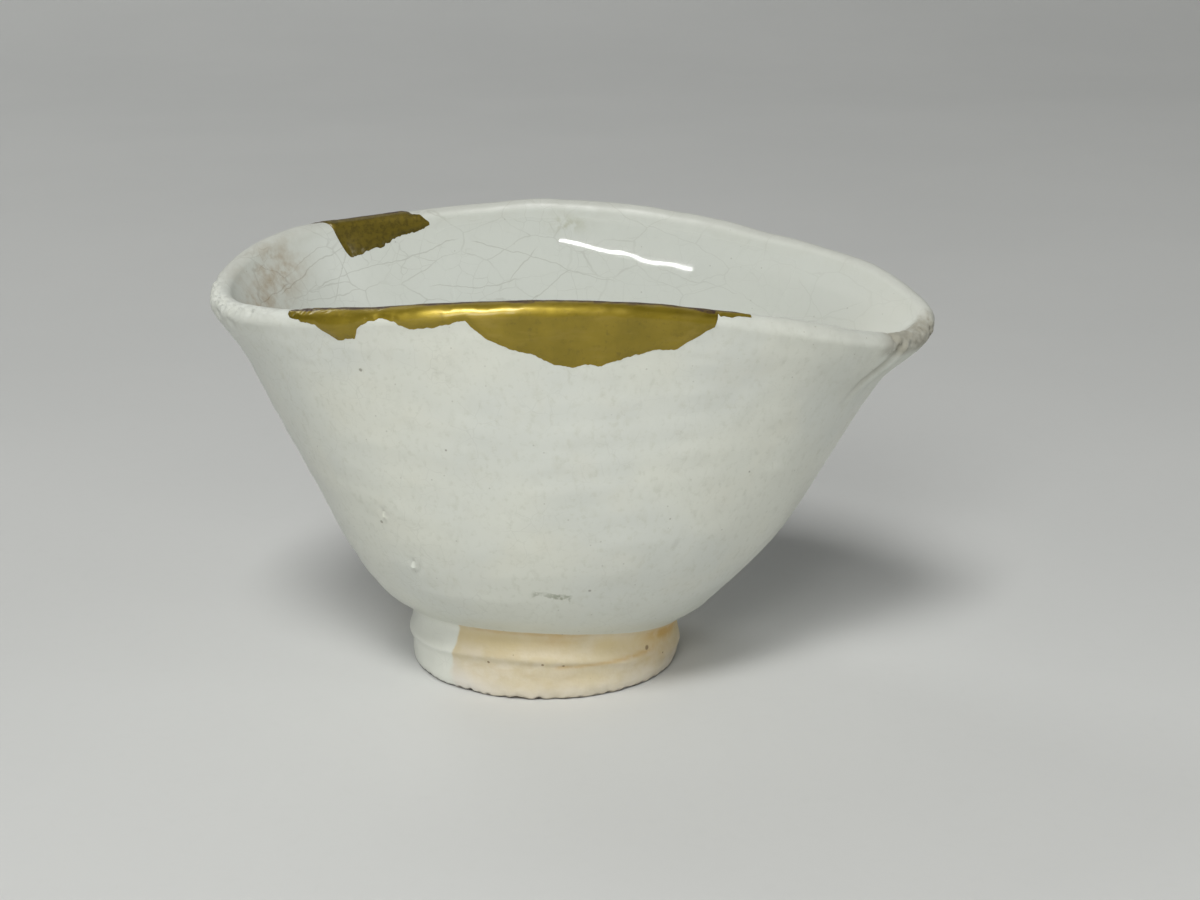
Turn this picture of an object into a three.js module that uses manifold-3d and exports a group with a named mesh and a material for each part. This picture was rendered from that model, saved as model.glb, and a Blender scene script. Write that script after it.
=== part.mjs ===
// Porcelain sake cup, hand thrown and squeezed into a leaf-shaped mouth, with
// two losses at the rim filled in gold lacquer.
// Millimetres, +Z up, +X towards the pointed corner of the mouth. The origin is
// on the standing surface, under the middle of the cup's own box.
import * as THREE from 'three';
import { mergeVertices } from 'three/addons/utils/BufferGeometryUtils.js';
import Module from 'manifold-3d';

// ---------------------------------------------------------------- dimensions
const FOOT_X = -3.22;            // the foot's axis lies this far from the origin
const SEGMENTS = 84;             // facets round the cup

// foot ring
const FOOT_R = 14.15;            // outer radius at the standing surface
const FOOT_TOP_R = 14.6;         // outer radius where the ring meets the groove
const FOOT_INNER_R = 11.3;       // inner radius of the standing ring
const RECESS_DEPTH = 3.6;        // hollow under the foot
const GROOVE_DROP = 2.2;         // height of the turned groove under the bowl
const GROOVE_R = 14.1;           // radius at the groove's bottom

// crease between bowl and foot: mean height, then its sway round the foot
const CREASE = { mean: 6.65, cos1: -0.75, sin1: -0.35, cos2: -0.75 };

// outer wall, as the distance from the foot's axis at fractions of the height
const LEVEL = [0, 0.05, 0.11, 0.19, 0.30, 0.43, 0.58, 0.74, 0.88, 1];
const LEFT = [14.9, 17.2, 18.9, 20.7, 22.6, 24.55, 26.9, 29.45, 31.6, 33.9];
const RIGHT = [14.9, 17.2, 19.3, 22.1, 24.9, 27.5, 30.2, 33.05, 35.9, 39.2];
const SIDE = [14.9, 16.6, 17.9, 19.2, 20.4, 21.3, 22.0, 22.6, 23.2, 23.6];
const POINTING = 0.42;           // how far the right end is drawn to a corner
const TIP_FLARE = 1.45;          // the lip's outward curl at the corner
const ROUND_END_TUCK = 0.45;     // the lip's outward curl at the round end
const FLARE_FROM = 0.86;         // height fraction where both curls begin

// height of the outer wall's top edge: mean, then cosine and sine terms
const RIM_MEAN = 40.7;
const RIM_SWAY = [[-1.64, 1.33], [-2.69, 0.29], [-0.21, 0.83], [-0.02, 0.12], [0.06, 0.22], [-0.17, 0.04]];

// wall
const LIP_T = 2.4;               // thickness at the rolled lip
const WALL_LEVEL = [0, 0.2, 0.5, 0.8, 1];
const WALL_T = [4.2, 3.6, 3.1, 2.7, LIP_T];
const INNER_FROM = 0.14;         // height fraction where the inner floor begins
const FLOOR_Z = 8.2;             // lowest point of the inside
const FLOOR_POWER = 2.9;         // how sharply the floor turns into the wall

// gold lacquer fills, measured down from the crest of the lip
const GAP = 0.3;                 // clearance left between porcelain and fill
const FRONT_FILL = { from: -24.2, to: 20.4, strip: 0.95 };
const FRONT_LOBES = [            // centre along X, half width, depth, squareness
  { x: -22.2, half: 2.6, depth: 1.35, power: 3.0 },
  { x: -18.5, half: 3.1, depth: 2.75, power: 3.2 },
  { x: -10.2, half: 3.8, depth: 1.9, power: 3.5 },
  { x: 3.6, half: 11.2, depth: 5.9, power: 1.9 },
  { x: 12.0, half: 5.3, depth: 4.0, power: 3.2 },
];
const BACK_FILL = { angle: 130.5, from: -4.3, to: 6.9, strip: 0.9, rise: 0.3 };
const BACK_LOBES = [             // centre along the rim from that angle, towards the middle of the back
  { x: -0.2, half: 3.9, depth: 3.0, power: 3.0 },
  { x: 4.1, half: 3.3, depth: 1.9, power: 3.0 },
];

// ------------------------------------------------------------------- curves
function through(xs, ys, x) {
  // smooth curve through the stations, tangents weighted by their spacing
  x = Math.min(Math.max(x, xs[0]), xs[xs.length - 1]);
  const n = xs.length;
  const slope = (i) => (ys[i + 1] - ys[i]) / (xs[i + 1] - xs[i]);
  const tangent = (i) => {
    if (i === 0) return slope(0);
    if (i === n - 1) return slope(n - 2);
    const a = xs[i] - xs[i - 1], b = xs[i + 1] - xs[i];
    return (slope(i - 1) * b + slope(i) * a) / (a + b);
  };
  let i = 0;
  while (i < n - 2 && x >= xs[i + 1]) i++;
  const h = xs[i + 1] - xs[i], t = (x - xs[i]) / h;
  return (1 + 2 * t) * (1 - t) ** 2 * ys[i] + t * (1 - t) ** 2 * h * tangent(i)
    + t * t * (3 - 2 * t) * ys[i + 1] + t * t * (t - 1) * h * tangent(i + 1);
}

const ease = (t) => { t = Math.min(Math.max(t, 0), 1); return t * t * (3 - 2 * t); };

function creaseZ(a) {
  return CREASE.mean + CREASE.cos1 * Math.cos(a) + CREASE.sin1 * Math.sin(a) + CREASE.cos2 * Math.cos(2 * a);
}

function rimZ(a) {
  let z = RIM_MEAN;
  RIM_SWAY.forEach(([c, s], i) => { z += c * Math.cos((i + 1) * a) + s * Math.sin((i + 1) * a); });
  return z;
}

// a point of the outer wall, u = 0 at the crease and 1 at the rim
function outer(u, a) {
  const left = through(LEVEL, LEFT, u), right = through(LEVEL, RIGHT, u), side = through(LEVEL, SIDE, u);
  const k = POINTING * Math.max(u, 0) ** 0.8;
  const taper = (1 - k + k * Math.abs(Math.sin(a / 2))) / (1 - k + k * Math.SQRT1_2);
  const w = ease((u - FLARE_FROM) / (1 - FLARE_FROM));
  const off = Math.atan2(Math.sin(a), Math.cos(a));
  const x = (right - left) / 2 + (right + left) / 2 * Math.cos(a)
    + w * (TIP_FLARE * Math.exp(-((off / 0.32) ** 2)) - ROUND_END_TUCK * Math.exp(-(((Math.abs(off) - Math.PI) / 0.5) ** 2)));
  const zc = creaseZ(a);
  return new THREE.Vector3(x, side * Math.sin(a) * taper, zc + (rimZ(a) - zc) * u);
}

// unit vectors up the wall and out of it
function wallFrame(u, a) {
  const e = 1e-3;
  const up = u < 0.5 ? outer(u + e, a).sub(outer(u, a)) : outer(u, a).sub(outer(u - e, a));
  up.normalize();
  const round = outer(u, a + e).sub(outer(u, a - e));
  return { up, out: round.cross(up).normalize() };
}

function inner(u, a) {
  return outer(u, a).addScaledVector(wallFrame(u, a).out, -through(WALL_LEVEL, WALL_T, u));
}

// the rolled lip: half a turn from the outer face (0) over the crest to the inner face (PI)
function lip(turn, a) {
  const { up, out } = wallFrame(1, a);
  return outer(1, a).addScaledVector(out, LIP_T / 2 * (Math.cos(turn) - 1)).addScaledVector(up, LIP_T / 2 * Math.sin(turn));
}

// ------------------------------------------------- the section, bottom to top
const polar = (r, z) => (a) => new THREE.Vector3(r * Math.cos(a), r * Math.sin(a), z);
const section = [];
// hollow under the foot, gently domed, then the flat standing ring
section.push(polar(0, RECESS_DEPTH + 0.3));
section.push(polar(5.5, RECESS_DEPTH + 0.15));
section.push(polar(9.2, RECESS_DEPTH - 0.5));
section.push(polar(10.6, RECESS_DEPTH - 1.8));
section.push(polar(FOOT_INNER_R - 0.3, 0.5));
section.push(polar(FOOT_INNER_R, 0));
section.push(polar(FOOT_R - 0.35, 0));
section.push(polar(FOOT_R, 0.4));
// ring wall up to the turned groove, which follows the crease
section.push((a) => polar(FOOT_TOP_R - 0.15, creaseZ(a) - GROOVE_DROP - 0.5)(a));
section.push((a) => polar(FOOT_TOP_R, creaseZ(a) - GROOVE_DROP)(a));
section.push((a) => polar(GROOVE_R + 0.1, creaseZ(a) - GROOVE_DROP * 0.62)(a));
section.push((a) => polar(GROOVE_R, creaseZ(a) - GROOVE_DROP * 0.25)(a));
// outer wall
const OUTER_STEPS = [0, 0.025, 0.06, 0.11, 0.17, 0.24, 0.32, 0.42, 0.53, 0.64, 0.74, 0.83, 0.9, 0.95];
for (const u of OUTER_STEPS) section.push((a) => outer(u, a));
// lip
const LIP_STEPS = 6;
for (let i = 0; i <= LIP_STEPS; i++) section.push((a) => lip(Math.PI * i / LIP_STEPS, a));
// inner wall, then the floor down to its middle
for (const u of [0.95, 0.88, 0.76, 0.64, 0.52, 0.4, 0.3, 0.21, INNER_FROM]) section.push((a) => inner(u, a));
for (const v of [0.86, 0.7, 0.5, 0.28, 0]) {
  section.push((a) => {
    const p = inner(INNER_FROM, a);
    const z = FLOOR_Z + (p.z - FLOOR_Z) * v ** FLOOR_POWER;
    return new THREE.Vector3(p.x * v, p.y * v, z);
  });
}

function cupGeometry() {
  // a turned blank with one ring of vertices for each station of the section
  const blank = section.map((_, j) => new THREE.Vector2(j === 0 || j === section.length - 1 ? 0 : 20, j));
  const g = new THREE.LatheGeometry(blank, SEGMENTS);
  const pos = g.attributes.position;
  for (let i = 0; i <= SEGMENTS; i++) {
    const a = 2 * Math.PI * (i % SEGMENTS) / SEGMENTS;
    section.forEach((at, j) => {
      const p = j === 0 || j === section.length - 1 ? at(0) : at(a);
      pos.setXYZ(i * section.length + j, p.x + FOOT_X, p.y, p.z);
    });
  }
  return g;
}

// ------------------------------------------------------------------ booleans
const wasm = await Module();
wasm.setup();

function solid(geometry) {
  const g = geometry.clone();
  g.deleteAttribute('normal');
  g.deleteAttribute('uv');
  const m = mergeVertices(g, 1e-4);
  const index = [];
  const idx = m.index.array;
  for (let i = 0; i < idx.length; i += 3) {
    const [a, b, c] = [idx[i], idx[i + 1], idx[i + 2]];
    if (a !== b && b !== c && c !== a) index.push(a, b, c);
  }
  const mesh = new wasm.Mesh({ numProp: 3, vertProperties: new Float32Array(m.attributes.position.array), triVerts: new Uint32Array(index) });
  return new wasm.Manifold(mesh);
}

function geometryOf(manifold) {
  const m = manifold.getMesh();
  const g = new THREE.BufferGeometry();
  g.setAttribute('position', new THREE.BufferAttribute(new Float32Array(m.vertProperties), 3));
  g.setIndex(new THREE.BufferAttribute(new Uint32Array(m.triVerts), 1));
  g.computeVertexNormals();
  return g;
}

// ------------------------------------------------------------------- fills
function lobeDepth(lobes, strip, x) {
  let d = strip;
  for (const l of lobes) {
    const t = Math.abs(x - l.x) / l.half;
    if (t < 1) d = Math.max(d, l.depth * (1 - t ** l.power));
  }
  return d;
}

// height of the lip's crest where the wall passes a place along X
const crest = [];
for (let i = 0; i <= 720; i++) { const p = lip(Math.PI / 2, 2 * Math.PI * i / 720); crest.push(p); }
function crestZ(test, value) {
  let best = Infinity, z = 0;
  for (const p of crest) {
    if (!test(p)) continue;
    const d = Math.abs(value(p));
    if (d < best) { best = d; z = p.z; }
  }
  return z;
}

// prism whose section hangs from above the rim down to the fill's lower edge
function fillCutter({ from, to, zAt, depthAt, grow, length, step }) {
  const lower = [];
  const n = Math.ceil((to - from + 2 * grow) / step);
  for (let i = 0; i <= n; i++) {
    const x = from - grow + (to - from + 2 * grow) * i / n;
    const c = Math.min(Math.max(x, from), to);
    const d = grow + Math.max(depthAt(c - grow), depthAt(c), depthAt(c + grow));
    lower.push(new THREE.Vector2(x, zAt(x) - d));
  }
  const shape = new THREE.Shape();
  shape.moveTo(lower[0].x, 60);
  for (const p of lower) shape.lineTo(p.x, p.y);
  shape.lineTo(lower[lower.length - 1].x, 60);
  shape.closePath();
  return new THREE.ExtrudeGeometry(shape, { depth: length, bevelEnabled: false, steps: 1 });
}

function frontCutter(grow) {
  const g = fillCutter({
    from: FRONT_FILL.from, to: FRONT_FILL.to, grow, length: 28, step: 0.95,
    zAt: (x) => crestZ((p) => p.y < 0, (p) => p.x - x),
    depthAt: (x) => lobeDepth(FRONT_LOBES, FRONT_FILL.strip, x),
  });
  // the section stands in the XZ plane and runs back from in front of the wall
  g.applyMatrix4(new THREE.Matrix4().makeBasis(new THREE.Vector3(1, 0, 0), new THREE.Vector3(0, 0, 1), new THREE.Vector3(0, -1, 0)));
  g.translate(FOOT_X, -4, 0);
  return g;
}

function backCutter(grow) {
  const a = THREE.MathUtils.degToRad(BACK_FILL.angle);
  const c = lip(Math.PI / 2, a);
  const w = wallFrame(1, a);
  const out = new THREE.Vector3(w.out.x, w.out.y, 0).normalize();
  const along = new THREE.Vector3(out.y, -out.x, 0);          // along the rim, towards the middle of the back
  const local = (p) => (p.x - c.x) * along.x + (p.y - c.y) * along.y;
  const g = fillCutter({
    from: BACK_FILL.from, to: BACK_FILL.to, grow, length: 16, step: 0.8,
    zAt: (x) => crestZ((p) => p.y > 0 && p.x < 0, (p) => local(p) - x),
    depthAt: (x) => lobeDepth(BACK_LOBES, BACK_FILL.strip, x),
  });
  // the section is carried outwards and upwards, so the fill is deeper inside than outside
  g.translate(0, 0, -9.2);
  const z = new THREE.Vector3(out.x, out.y, BACK_FILL.rise);
  const m = new THREE.Matrix4().makeBasis(along.clone(), new THREE.Vector3(0, 0, 1), z);
  g.applyMatrix4(m);
  g.translate(c.x + FOOT_X, c.y, 0);
  return g;
}

const cup = solid(cupGeometry());
const frontGold = cup.intersect(solidFacingOut(frontCutter(0)));
const backGold = cup.intersect(solidFacingOut(backCutter(0)));
const body = cup.subtract(solidFacingOut(frontCutter(GAP))).subtract(solidFacingOut(backCutter(GAP)));

// an extruded prism whose basis swaps hands is turned right side out
function solidFacingOut(geometry) {
  const probe = geometry.clone();
  const p = probe.attributes.position;
  let volume = 0;
  const a = new THREE.Vector3(), b = new THREE.Vector3(), c = new THREE.Vector3();
  const at = (i) => (probe.index ? probe.index.getX(i) : i);
  const count = probe.index ? probe.index.count : p.count;
  for (let i = 0; i < count; i += 3) {
    a.fromBufferAttribute(p, at(i)); b.fromBufferAttribute(p, at(i + 1)); c.fromBufferAttribute(p, at(i + 2));
    volume += a.dot(b.cross(c));
  }
  if (volume < 0) {
    const index = [];
    for (let i = 0; i < count; i += 3) index.push(at(i), at(i + 2), at(i + 1));
    probe.setIndex(index);
  }
  return solid(probe);
}

// ------------------------------------------------------------------- pieces
const porcelain = new THREE.MeshStandardMaterial({ color: 0xc9cbc1, roughness: 0.22, metalness: 0 });
const gold = new THREE.MeshStandardMaterial({ color: 0x8a7433, roughness: 0.38, metalness: 0.6 });
const backGoldMaterial = gold.clone();

const group = new THREE.Group();
function add(name, manifold, material) {
  const mesh = new THREE.Mesh(geometryOf(manifold), material);
  mesh.name = name;
  group.add(mesh);
}
add('porcelain_cup', body, porcelain);
add('gold_lacquer_fill_front_rim', frontGold, gold);
add('gold_lacquer_fill_back_rim', backGold, backGoldMaterial);

export default group;
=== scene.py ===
# Porcelain sake cup with gold lacquer repairs at the rim.
# The surface is worked out in millimetres about the foot's axis, and turned
# into metres in the model's own frame when each mesh is made.
import bpy
import math
import numpy as np
from mathutils import Vector, Matrix, kdtree


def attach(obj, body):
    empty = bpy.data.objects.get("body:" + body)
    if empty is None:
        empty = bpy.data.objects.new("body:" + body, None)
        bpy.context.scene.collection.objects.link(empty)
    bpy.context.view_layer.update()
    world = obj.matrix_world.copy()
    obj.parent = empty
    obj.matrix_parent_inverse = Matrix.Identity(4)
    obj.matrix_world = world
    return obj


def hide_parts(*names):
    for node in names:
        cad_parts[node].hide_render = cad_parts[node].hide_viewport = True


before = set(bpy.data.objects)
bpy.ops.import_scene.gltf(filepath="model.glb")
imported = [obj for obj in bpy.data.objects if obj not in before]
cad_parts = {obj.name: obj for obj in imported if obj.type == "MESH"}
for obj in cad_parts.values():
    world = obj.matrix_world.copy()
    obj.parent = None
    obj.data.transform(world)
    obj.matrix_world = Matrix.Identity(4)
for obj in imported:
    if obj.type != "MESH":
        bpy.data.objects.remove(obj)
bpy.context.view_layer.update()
scene = bpy.context.scene
pi, sin, cos = np.pi, np.sin, np.cos

# ------------------------------------------------------------------ sizes, mm
FOOT_X = -3.22
FOOT_R, FOOT_TOP_R, FOOT_INNER_R = 14.15, 14.6, 11.3
RECESS_DEPTH = 3.6
GROOVE_DROP, GROOVE_R = 2.2, 14.1
CREASE = (6.65, -0.75, -0.35, -0.75)
LEVEL = np.array([0, 0.05, 0.11, 0.19, 0.30, 0.43, 0.58, 0.74, 0.88, 1])
LEFT = np.array([14.9, 17.2, 18.9, 20.7, 22.6, 24.55, 26.9, 29.45, 31.6, 33.9])
RIGHT = np.array([14.9, 17.2, 19.3, 22.1, 24.9, 27.5, 30.2, 33.05, 35.9, 39.2])
SIDE = np.array([14.9, 16.6, 17.9, 19.2, 20.4, 21.3, 22.0, 22.6, 23.2, 23.6])
POINTING, TIP_FLARE, ROUND_END_TUCK, FLARE_FROM = 0.42, 1.45, 0.45, 0.86
RIM_MEAN = 40.7
RIM_SWAY = [(-1.64, 1.33), (-2.69, 0.29), (-0.21, 0.83), (-0.02, 0.12), (0.06, 0.22), (-0.17, 0.04)]
LIP_T = 2.4
WALL_LEVEL = np.array([0, 0.2, 0.5, 0.8, 1])
WALL_T = np.array([4.2, 3.6, 3.1, 2.7, LIP_T])
INNER_FROM, FLOOR_Z, FLOOR_POWER = 0.14, 8.2, 2.9
QUARTER = LIP_T / 2 * pi / 2          # along the lip, from its crest to either face

# ------------------------------------------------------------------- helpers


def through(xs, ys, x):
    """Smooth curve through the stations, tangents weighted by their spacing."""
    xs = np.asarray(xs, float)
    ys = np.asarray(ys, float)
    x = np.clip(x, xs[0], xs[-1])
    h = np.diff(xs)
    d = np.diff(ys) / h
    m = np.empty(len(xs))
    m[0], m[-1] = d[0], d[-1]
    m[1:-1] = (d[:-1] * h[1:] + d[1:] * h[:-1]) / (h[1:] + h[:-1])
    i = np.clip(np.searchsorted(xs, x, side="right") - 1, 0, len(xs) - 2)
    t = (x - xs[i]) / h[i]
    return ((1 + 2 * t) * (1 - t) ** 2 * ys[i] + t * (1 - t) ** 2 * h[i] * m[i]
            + t * t * (3 - 2 * t) * ys[i + 1] + t * t * (t - 1) * h[i] * m[i + 1])


def ease(t):
    t = np.clip(t, 0, 1)
    return t * t * (3 - 2 * t)


def bell(x, centre, width):
    return np.exp(-((x - centre) / width) ** 2)


def turn_from(th, degrees):
    """Signed angle from a bearing, in degrees, -180 to 180."""
    return (np.degrees(th) - degrees + 180) % 360 - 180


class Waves:
    """Smooth noise: a sum of waves with random bearings round one wavelength, roughly -2 to 2."""

    def __init__(self, seed, length, stretch=(1, 1, 1), count=30):
        rng = np.random.default_rng(seed)
        d = rng.normal(size=(count, 3))
        d /= np.linalg.norm(d, axis=1, keepdims=True)
        k = 2 * pi / length * rng.uniform(0.65, 1.5, count)
        self.k = d * k[:, None] / np.array(stretch)
        self.p = rng.uniform(0, 2 * pi, count)

    def __call__(self, P):
        shape = P.shape[:-1]
        Q = P.reshape(-1, 3)
        out = np.zeros(len(Q))
        for k, p in zip(self.k, self.p):
            out += cos(Q @ k + p)
        return (out * math.sqrt(2.0 / len(self.p))).reshape(shape)


# ------------------------------------------------------------ the plain form


def crease_z(a):
    return CREASE[0] + CREASE[1] * cos(a) + CREASE[2] * sin(a) + CREASE[3] * cos(2 * a)


def rim_z(a):
    z = RIM_MEAN + 0 * a
    for i, (c, s) in enumerate(RIM_SWAY):
        z = z + c * cos((i + 1) * a) + s * sin((i + 1) * a)
    return z


def outer(u, a):
    left, right, side = through(LEVEL, LEFT, u), through(LEVEL, RIGHT, u), through(LEVEL, SIDE, u)
    k = POINTING * np.clip(u, 0, 1) ** 0.8
    taper = (1 - k + k * np.abs(sin(a / 2))) / (1 - k + k * math.sqrt(0.5))
    w = ease((u - FLARE_FROM) / (1 - FLARE_FROM))
    off = np.arctan2(sin(a), cos(a))
    x = (right - left) / 2 + (right + left) / 2 * cos(a) \
        + w * (TIP_FLARE * np.exp(-(off / 0.32) ** 2) - ROUND_END_TUCK * np.exp(-((np.abs(off) - pi) / 0.5) ** 2))
    zc = crease_z(a)
    return np.stack([x, side * sin(a) * taper, zc + (rim_z(a) - zc) * u], -1)


def unit(v):
    return v / np.linalg.norm(v, axis=-1, keepdims=True)


def wall_frame(u, a):
    e = 1e-3
    up = unit(np.where((u < 0.5)[..., None], outer(u + e, a) - outer(u, a), outer(u, a) - outer(u - e, a)))
    out = unit(np.cross(outer(u, a + e) - outer(u, a - e), up))
    return up, out


def lip(turn, a):
    up, out = wall_frame(np.ones_like(a), a)
    t = np.asarray(turn)[..., None]
    P = outer(np.ones_like(a), a) + out * LIP_T / 2 * (cos(t) - 1) + up * LIP_T / 2 * sin(t)
    return P, out * cos(t) + up * sin(t)


_a = np.linspace(0, 2 * pi, 721)
_o1, _o2 = outer(np.ones_like(_a), _a), outer(np.full_like(_a, 0.85), _a)
_len = np.linalg.norm(_o1 - _o2, axis=-1) / 0.15


def wall_length(a):
    """Millimetres down the wall for a whole height fraction, near the rim."""
    return np.interp(a % (2 * pi), _a, _len)


# ---------------------------------------------------------------- fine relief
swell = Waves(11, 26)
hand = Waves(12, 11)
dimple = Waves(13, 4.2)
grain = Waves(14, 1.5)
ring_wander = Waves(15, 30)
rim_wave = Waves(16, 9)
rim_nick = Waves(17, 2.6)
tip_rough = Waves(18, 1.15)
tip_rough2 = Waves(19, 2.4)
foot_tool = Waves(20, 7, stretch=(1, 1, 0.35))
foot_chip = Waves(21, 1.3)
foot_chip2 = Waves(22, 3.6)


def throwing(P, pitch, seed_shift):
    """Faint turned rings that wander and fade as they go round."""
    z = P[..., 2] + 0.5 * ring_wander(P) + seed_shift
    a = np.arctan2(P[..., 1], P[..., 0])
    z = z + pitch * a / (2 * pi)
    return (sin(2 * pi * z / pitch) + 0.5 * sin(2 * pi * z / (pitch * 0.43) + 1.3)) * (0.65 + 0.35 * hand(P))


def corner_fold(P, a, s):
    """Millimetres across the fold on the front side of the drawn corner, and how strong it is there."""
    arc = (turn_from(a, 337.6) + 0.67 * (s - 0.75)) * 0.62 + 0.12 * dimple(P)
    return arc, ease((s - 0.7) / 0.9) * (1 - ease((s - 4.5) / 6.0))


def outer_relief(P, a, s, u):
    """Millimetres out of the outer face; s is the distance below the lip's crest."""
    r = 0.10 * swell(P) * ease(u / 0.15) + 0.034 * hand(P) + 0.010 * dimple(P) + 0.005 * grain(P)
    r += 0.021 * throwing(P, 3.3, 0.0) * ease(u / 0.08) * (1 - 0.75 * ease((u - 0.8) / 0.15))
    # a wide ledge left by the fingers low on the bowl, and soft broad bands
    r += 0.07 * bell(u, 0.12, 0.03) * (0.7 + 0.5 * sin(a + 1.0)) - 0.06 * bell(u, 0.20, 0.05)
    # the lip is a low bead with a broader swell under it, clearest on the front right
    clear = 0.45 + 0.55 * bell(turn_from(a, 316), 0, 26)
    r += clear * (0.07 * bell(s, 2.0, 1.0) + 0.12 * bell(s, 3.9, 1.8))
    r += 0.024 * rim_wave(P) * bell(s, 0, 2.6)
    # drawn corner: a shallow crease down its front side
    arc, down = corner_fold(P, a, s)
    r -= 0.30 * np.exp(-(arc / 0.75) ** 2) * down
    r += 0.16 * np.exp(-((arc - 1.8) / 1.1) ** 2) * down
    r -= 0.12 * np.exp(-((arc - 3.5) / 0.9) ** 2) * down
    # blisters and small dents in the glaze, the two tallest blisters at the lower left
    for a0, s0, size, height in PITS:
        d = np.hypot(turn_from(a, a0) * pi / 180 * 21, s - s0) / size
        r += height * (np.exp(-d ** 2) - 0.9 * np.exp(-((d - 1.35) / 0.35) ** 2) * (turn_from(a, a0) > -1.2))
    return r


PITS = [(228.2, 23.1, 0.34, 0.24), (232.5, 29.0, 0.42, 0.30), (243.0, 12.5, 0.22, 0.10), (300.0, 26.0, 0.25, -0.12),
        (318.0, 9.0, 0.24, -0.10), (206.0, 14.0, 0.25, 0.10), (75.0, 15.0, 0.3, 0.14), (120.0, 22.0, 0.35, -0.14), (20.0, 18.0, 0.3, 0.12)]


def lip_relief(P, a, s):
    """Out of the lip; s runs from minus on the inner side, through 0 on the crest, to plus outside."""
    r = 0.09 * swell(P) + 0.034 * hand(P) + 0.012 * dimple(P) + 0.006 * grain(P)
    r += 0.024 * rim_wave(P) * bell(s, 0, 2.6)
    # small nicks, crowded along the outer edge of the round end
    left = bell(turn_from(a, 196), 0, 24)
    n = rim_nick(P)
    r -= (0.05 + 0.30 * left) * ease((n - 1.1 + 0.7 * left) / 0.7) * bell(s, 0.7, 1.0)
    r -= 0.26 * left * np.abs(tip_rough(P)) * bell(s, 0.6, 1.2)
    return r


def corner_damage(P, a, s):
    """The worn, unglazed corner: small broken facets and one notch. Positive is taken away."""
    t = turn_from(a, 346)
    # the broken patch covers the front side of the corner and fades round it
    where = (1 - ease((np.abs(t) - 11) / 7)) * (1 - ease((np.abs(s - 0.4) - 1.5) / 1.3))
    n = 0.5 * tip_rough2(P) + 0.5 * tip_rough(P)
    facets = 0.06 + 0.105 * np.abs(n)
    notch = 0.46 * np.exp(-((turn_from(a, 334.6) * 0.62) / 0.62) ** 2 - ((s - 0.15) / 0.85) ** 2)
    small = 0.34 * np.exp(-((turn_from(a, 353.5) * 0.7) / 0.8) ** 2 - ((s - 0.9) / 0.7) ** 2)
    small += 0.30 * np.exp(-((turn_from(a, 341.0) * 0.65) / 0.7) ** 2 - ((s - 1.5) / 0.6) ** 2)
    # a nick under the lip of the round end
    nick = 0.42 * np.exp(-((turn_from(a, 196.0) * 0.45) / 1.1) ** 2 - ((s - 1.7) / 0.55) ** 2) \
        + 0.22 * np.exp(-((turn_from(a, 203.0) * 0.45) / 0.8) ** 2 - ((s - 2.0) / 0.45) ** 2)
    return where * facets + notch + small + nick, where


def inner_relief(P, a, u):
    """Millimetres off the inner face, into the hollow."""
    lower = ease((0.70 - u) / 0.25)
    r = -0.012 * swell(P) + 0.008 * hand(P + 40) * (1 + 4 * lower) + 0.0015 * dimple(P + 40) * (1 + 5 * lower)
    r += 0.045 * throwing(P, 4.6, 1.7) * lower
    # the wall is a little hollow just under the lip
    b = np.clip(turn_from(a, 79), -45, 45)
    middle = 3.4 - 0.03 * b + 0.002 * b * b
    r -= 0.50 * (bell((1 - u) * 35.0, middle, 7.5) - bell(0, middle, 7.5))
    return r


# ------------------------------------------------------- surfaces with relief


def at_rim(a, s):
    """Points and outward normals at signed distance s from the lip's crest, outside positive. a and s match in shape."""
    a, s = np.broadcast_arrays(np.asarray(a, float), np.asarray(s, float))
    P = np.empty(a.shape + (3,))
    N = np.empty(a.shape + (3,))
    on = np.abs(s) <= QUARTER
    if on.any():
        P[on], N[on] = lip(pi / 2 - s[on] / (LIP_T / 2), a[on])
        r = lip_relief(P[on], a[on], s[on])
        # the outer face's own relief takes over where the lip ends
        k = ease((s[on] + 0.2) / (QUARTER + 0.2))
        r = r * (1 - k) + outer_relief(P[on], a[on], np.maximum(s[on], 0), np.ones(on.sum())) * k
        k = ease((-s[on] - 0.2) / (QUARTER - 0.2))
        r = r * (1 - k) + inner_relief(P[on], a[on], np.ones(on.sum())) * k
        P[on] += N[on] * r[:, None]
    for side in (1, -1):
        off = side * s > QUARTER
        if not off.any():
            continue
        u = 1 - (side * s[off] - QUARTER) / wall_length(a[off])
        up, out = wall_frame(u, a[off])
        O = outer(u, a[off])
        if side > 0:
            P[off] = O + out * outer_relief(O, a[off], s[off], u)[:, None]
            N[off] = out
        else:
            I = O - out * through(WALL_LEVEL, WALL_T, u)[:, None]
            P[off] = I - out * inner_relief(I, a[off], u)[:, None]
            N[off] = -out
    dmg, _ = corner_damage(P, a, s)
    return P - N * dmg[..., None], N


FOOT_CHIPS = [(228.0, 1.2, 0.12), (236.5, 1.5, 0.24), (253.2, 1.4, 0.22), (259.5, 2.2, 0.26), (268.5, 1.5, 0.16), (275.0, 2.2, 0.16),
              (283.0, 1.5, 0.12), (310.0, 1.4, 0.10), (20.0, 2.0, 0.22), (60.0, 1.6, 0.18), (110.0, 2.4, 0.28), (150.0, 1.5, 0.18), (187.0, 1.8, 0.18)]


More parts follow.
